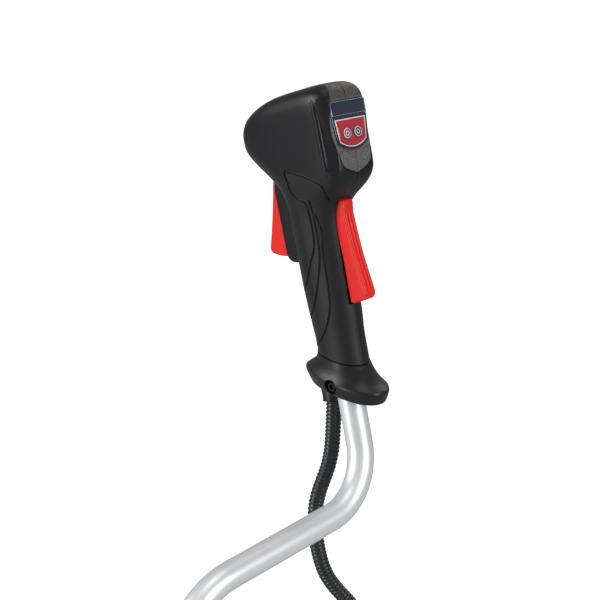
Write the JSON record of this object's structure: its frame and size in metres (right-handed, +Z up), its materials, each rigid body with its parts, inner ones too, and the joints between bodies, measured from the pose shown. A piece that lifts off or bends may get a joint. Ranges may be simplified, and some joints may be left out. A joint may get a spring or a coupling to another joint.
{
  "type": "string trimmer control handle",
  "caption": "Right-hand control handle of a string trimmer on its bent handlebar half: pivoting trigger, lock-off lever, push buttons and a corrugated lead with a connector.",
  "frame": {"origin": "centre of the open, straight clamp end of the handlebar tube, in the plane of its cut end", "axes": "+Z up along the clamp end's tube axis, +Y from the clamp end out to the handle, +X rearwards to the operator; the handle leans forward to -X"},
  "size_m": [0.1679, 0.2749, 0.651],
  "materials": {
    "aluminium": "satin clear-anodised tube",
    "black_plastic": "satin moulding, grained rear face, soft grip inlay",
    "red_plastic": "semi-gloss moulding",
    "steel": "zinc plated",
    "dark_parts": "satin",
    "panel_film": "glossy printed film under clear resin",
    "display_lens": "dark tinted glossy window",
    "button_grey": "satin caps with a raised ring",
    "board": "solder mask",
    "led_module": "diffuser",
    "conduit_plastic": "corrugated, slight sheen"
  },
  "bodies": {
    "handle": {"bar_tube": "aluminium", "collar": "black_plastic", "grip_shell_left": "black_plastic", "grip_shell_right": "black_plastic", "clamp_bolt": "steel", "clamp_nut": "steel", "shell_screw_1": "steel", "shell_screw_2": "steel", "shell_screw_3": "steel", "shell_screw_4": "steel", "shell_screw_5": "steel", "trigger_pin": "steel", "lockout_pin": "steel", "trigger_spring": "steel", "lockout_spring": "steel", "switch_body": "dark_parts", "control_panel": "panel_film", "display_window": "display_lens", "tact_switch_left": "dark_parts", "tact_switch_right": "dark_parts", "control_board": "board", "level_display": "led_module", "inner_harness": "dark_parts", "conduit": "conduit_plastic", "conduit_coil": "conduit_plastic", "conduit_tail": "conduit_plastic", "coil_tie": "dark_parts", "connector_boot": "dark_parts", "connector_plug": "dark_parts"},
    "trigger": {"trigger": "red_plastic"},
    "lockout_lever": {"lockout_lever": "red_plastic"},
    "button_left": {"button_left": "button_grey"},
    "button_right": {"button_right": "button_grey"},
    "switch_plunger": {"switch_plunger": "dark_parts"}
  },
  "joints": [
    {"name": "trigger_pivot", "type": "hinge", "parent": "handle", "child": "trigger", "pos_m": [-0.09339, 0.21183, 0.37709], "axis": [0, -1, 0], "range_deg": [0, 16], "stiffness_Nm_per_rad": 0.8, "springref_deg": -11.46},
    {"name": "lockout_pivot", "type": "hinge", "parent": "handle", "child": "lockout_lever", "pos_m": [-0.03716, 0.21183, 0.38131], "axis": [0, 1, 0], "range_deg": [0, 7.5], "stiffness_Nm_per_rad": 0.9, "springref_deg": -11.46},
    {"name": "button_left_press", "type": "slide", "parent": "handle", "child": "button_left", "axis": [-0.9681, 0, -0.2504], "range_m": [0, 0.0008], "stiffness_N_per_m": 1500, "springref_m": -0.0004},
    {"name": "button_right_press", "type": "slide", "parent": "handle", "child": "button_right", "axis": [-0.9681, 0, -0.2504], "range_m": [0, 0.0008], "stiffness_N_per_m": 1500, "springref_m": -0.0004},
    {"name": "plunger_slide", "type": "slide", "parent": "handle", "child": "switch_plunger", "axis": [0.9681, 0, 0.2504], "range_m": [0, 0.003], "stiffness_N_per_m": 120, "springref_m": -0.001}
  ],
  "couplings": [
    {"joint": "plunger_slide", "follows": "trigger_pivot", "m_per_rad": 0.0107}
  ]
}
